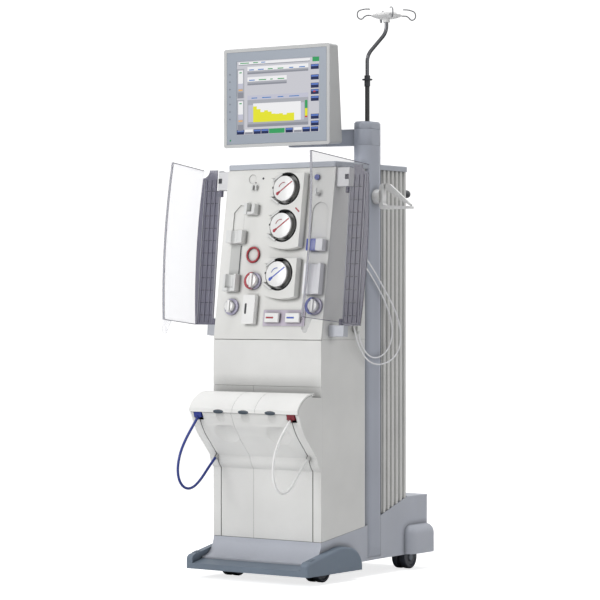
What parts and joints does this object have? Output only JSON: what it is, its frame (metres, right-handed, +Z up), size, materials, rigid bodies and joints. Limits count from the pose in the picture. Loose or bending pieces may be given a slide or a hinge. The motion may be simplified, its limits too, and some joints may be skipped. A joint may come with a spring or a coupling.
{
  "type": "dialysis machine",
  "caption": "Floor-standing dialysis machine on casters with a swivelling monitor, roller pumps behind two clear doors, a drip pole and a hose hood.",
  "frame": {"origin": "on the floor, on the cabinet's middle plane, midway between the swivel axes of the front and rear casters", "axes": "+Z up, -Y towards the user in front of the machine, +X to the right as that user sees it, where the column and the drip pole stand"},
  "size_m": [0.6854, 0.8703, 1.799],
  "materials": {
    "panel_white": "satin",
    "face_white": "satin",
    "fitting_white": "glossy",
    "fitting_grey": "satin",
    "fitting_blue": "satin",
    "cover_grey": "satin",
    "base_grey": "satin",
    "column_grey": "satin",
    "bumper_blue": "matte",
    "dark_plastic": "satin",
    "dark_rubber": "matte",
    "wheel_dark": "matte",
    "inner_metal": "brushed",
    "pane_milky": "glossy",
    "pane_clear": "glossy",
    "band_smoke": "glossy",
    "monitor_grey": "satin",
    "bezel_blue": "satin",
    "screen_glass": "glossy, lit",
    "steel": "brushed",
    "connector_blue": "glossy",
    "clamp_red": "glossy",
    "hose_blue": "satin",
    "hose_white": "satin",
    "line_clear": "glossy"
  },
  "bodies": {
    "cabinet": {"base_shell": "base_grey", "rear_shelf_lid": "base_grey", "front_bumper": "bumper_blue", "lower_side_panels": "panel_white", "front_panels": "panel_white", "module_housing": "panel_white", "module_face": "face_white", "top_cover": "cover_grey", "pump_housings": "face_white", "pump_races": "dark_rubber", "line_clips": "fitting_grey", "chamber_holder": "fitting_blue", "slot_unit": "fitting_white", "column": "column_grey", "column_cap": "column_grey", "ribbed_side_panels": "panel_white", "rear_cover": "panel_white", "push_handle": "dark_plastic", "rear_connections": "dark_plastic", "door_hinge_blocks": "fitting_white", "inner_units": "inner_metal", "hose_connectors": "connector_blue", "blue_hose": "hose_blue", "white_hose": "hose_white", "outer_line": "line_clear", "inner_line": "line_clear"},
    "left_door": {"door_left_pane": "pane_milky", "door_left_wall": "band_smoke"},
    "right_door": {"door_right_pane": "pane_clear", "door_right_wall": "band_smoke"},
    "arm": {"monitor_arm": "column_grey"},
    "neck": {"monitor_neck": "dark_plastic"},
    "monitor": {"monitor_housing": "monitor_grey", "monitor_bezel": "bezel_blue", "monitor_screen": "screen_glass"},
    "pole": {"drip_pole": "steel"},
    "collar": {"pole_collar": "dark_plastic"},
    "hub": {"hook_hub": "fitting_white"},
    "holder": {"dialyser_holder": "fitting_white"},
    "lever": {"holder_lever": "fitting_white"},
    "button": {"round_button": "connector_blue"},
    "left_flap": {"hood_flap_left": "panel_white"},
    "middle_flap": {"hood_flap_middle": "panel_white"},
    "right_flap": {"hood_flap_right": "panel_white"},
    "rotor_high": {"pump_rotor_high": "fitting_white"},
    "rotor_middle": {"pump_rotor_middle": "fitting_white"},
    "rotor_low": {"pump_rotor_low": "fitting_white"},
    "red_clamp": {"red_line_clamp": "clamp_red"},
    "level_clamp": {"level_line_clamp": "fitting_white"},
    "blue_clamp": {"blue_line_clamp": "connector_blue"},
    "red_pad": {"red_line_pad": "fitting_white"},
    "blue_pad": {"blue_line_pad": "fitting_white"},
    "fork_front_left": {"caster_fork_front_left": "dark_plastic"},
    "wheels_front_left": {"caster_wheels_front_left": "wheel_dark"},
    "fork_front_right": {"caster_fork_front_right": "dark_plastic"},
    "wheels_front_right": {"caster_wheels_front_right": "wheel_dark"},
    "fork_rear_left": {"caster_fork_rear_left": "dark_plastic"},
    "wheels_rear_left": {"caster_wheels_rear_left": "wheel_dark"},
    "fork_rear_right": {"caster_fork_rear_right": "dark_plastic"},
    "wheels_rear_right": {"caster_wheels_rear_right": "wheel_dark"}
  },
  "joints": [
    {"name": "left_door_hinge", "type": "hinge", "parent": "cabinet", "child": "left_door", "pos_m": [-0.2476, -0.2336, 0.751], "axis": [0, 0.0924, 0.9957], "range_deg": [-10, 84]},
    {"name": "right_door_hinge", "type": "hinge", "parent": "cabinet", "child": "right_door", "pos_m": [0.2476, -0.2336, 0.751], "axis": [0, 0.0924, 0.9957], "range_deg": [-90, 10]},
    {"name": "arm_swivel", "type": "hinge", "parent": "cabinet", "child": "arm", "pos_m": [0.183, 0.0095, 1.39], "axis": [0, 0, 1], "range_deg": [-60, 75]},
    {"name": "monitor_turn", "type": "hinge", "parent": "arm", "child": "neck", "pos_m": [-0.04837, -0.06263, 1.41], "axis": [0, 0, 1], "range_deg": [-60, 13]},
    {"name": "monitor_tilt", "type": "hinge", "parent": "neck", "child": "monitor", "pos_m": [-0.04837, -0.06263, 1.5196], "axis": [-0.9988, -0.0488, 0], "range_deg": [-4, 20]},
    {"name": "pole_height", "type": "slide", "parent": "cabinet", "child": "pole", "axis": [0, 0, 1], "range_m": [-0.04, 0.25]},
    {"name": "collar_twist", "type": "hinge", "parent": "cabinet", "child": "collar", "pos_m": [0.183, 0.0095, 1.57], "axis": [0, 0, 1], "range_deg": [-90, 90]},
    {"name": "hub_turn", "type": "hinge", "parent": "pole", "child": "hub", "pos_m": [0.23242, 0.04541, 1.77], "axis": [0, 0, 1], "continuous": true},
    {"name": "holder_turn", "type": "hinge", "parent": "cabinet", "child": "holder", "pos_m": [0.215, 0.0095, 1.201], "axis": [1, 0, 0], "range_deg": [-45, 45]},
    {"name": "lever_hinge", "type": "hinge", "parent": "holder", "child": "lever", "pos_m": [0.245, 0.0095, 1.235], "axis": [0, -1, 0], "range_deg": [0, 60]},
    {"name": "left_flap_hinge", "type": "hinge", "parent": "cabinet", "child": "left_flap", "pos_m": [0, -0.321, 0.5835], "axis": [-1, 0, 0], "range_deg": [0, 80]},
    {"name": "middle_flap_hinge", "type": "hinge", "parent": "cabinet", "child": "middle_flap", "pos_m": [0, -0.321, 0.5835], "axis": [-1, 0, 0], "range_deg": [0, 80]},
    {"name": "right_flap_hinge", "type": "hinge", "parent": "cabinet", "child": "right_flap", "pos_m": [0, -0.321, 0.5835], "axis": [-1, 0, 0], "range_deg": [0, 80]},
    {"name": "rotor_spin_high", "type": "hinge", "parent": "cabinet", "child": "rotor_high", "pos_m": [0.041, -0.22557, 1.21994], "axis": [0, -0.9892, 0.1468], "continuous": true},
    {"name": "rotor_spin_middle", "type": "hinge", "parent": "cabinet", "child": "rotor_middle", "pos_m": [0.041, -0.24282, 1.10372], "axis": [0, -0.9892, 0.1468], "continuous": true},
    {"name": "rotor_spin_low", "type": "hinge", "parent": "cabinet", "child": "rotor_low", "pos_m": [0.041, -0.26535, 0.95188], "axis": [0, -0.9892, 0.1468], "continuous": true},
    {"name": "button_press", "type": "slide", "parent": "cabinet", "child": "button", "axis": [0, 0.9892, -0.1468], "range_m": [0, 0.003], "stiffness_N_per_m": 600},
    {"name": "red_clamp_turn", "type": "hinge", "parent": "cabinet", "child": "red_clamp", "pos_m": [-0.066, -0.26388, 0.93447], "axis": [0, -0.9892, 0.1468], "range_deg": [0, 90]},
    {"name": "level_clamp_turn", "type": "hinge", "parent": "cabinet", "child": "level_clamp", "pos_m": [-0.146, -0.27592, 0.85336], "axis": [0, -0.9892, 0.1468], "range_deg": [0, 90]},
    {"name": "blue_clamp_turn", "type": "hinge", "parent": "cabinet", "child": "blue_clamp", "pos_m": [0.178, -0.27563, 0.85534], "axis": [0, -0.9892, 0.1468], "range_deg": [0, 90]},
    {"name": "red_pad_press", "type": "slide", "parent": "cabinet", "child": "red_pad", "axis": [0, 0.9892, -0.1468], "range_m": [0, 0.003], "stiffness_N_per_m": 900},
    {"name": "blue_pad_press", "type": "slide", "parent": "cabinet", "child": "blue_pad", "axis": [0, 0.9892, -0.1468], "range_m": [0, 0.003], "stiffness_N_per_m": 900},
    {"name": "swivel_front_left", "type": "hinge", "parent": "cabinet", "child": "fork_front_left", "pos_m": [-0.163, -0.2445, 0.1], "axis": [0, 0, 1], "continuous": true},
    {"name": "roll_front_left", "type": "hinge", "parent": "fork_front_left", "child": "wheels_front_left", "pos_m": [-0.163, -0.2365, 0.0375], "axis": [1, 0, 0], "continuous": true},
    {"name": "swivel_front_right", "type": "hinge", "parent": "cabinet", "child": "fork_front_right", "pos_m": [0.163, -0.2445, 0.1], "axis": [0, 0, 1], "continuous": true},
    {"name": "roll_front_right", "type": "hinge", "parent": "fork_front_right", "child": "wheels_front_right", "pos_m": [0.163, -0.2365, 0.0375], "axis": [1, 0, 0], "continuous": true},
    {"name": "swivel_rear_left", "type": "hinge", "parent": "cabinet", "child": "fork_rear_left", "pos_m": [-0.163, 0.2445, 0.1], "axis": [0, 0, 1], "continuous": true},
    {"name": "roll_rear_left", "type": "hinge", "parent": "fork_rear_left", "child": "wheels_rear_left", "pos_m": [-0.163, 0.2525, 0.0375], "axis": [1, 0, 0], "continuous": true},
    {"name": "swivel_rear_right", "type": "hinge", "parent": "cabinet", "child": "fork_rear_right", "pos_m": [0.163, 0.2445, 0.1], "axis": [0, 0, 1], "continuous": true},
    {"name": "roll_rear_right", "type": "hinge", "parent": "fork_rear_right", "child": "wheels_rear_right", "pos_m": [0.163, 0.2525, 0.0375], "axis": [1, 0, 0], "continuous": true}
  ]
}
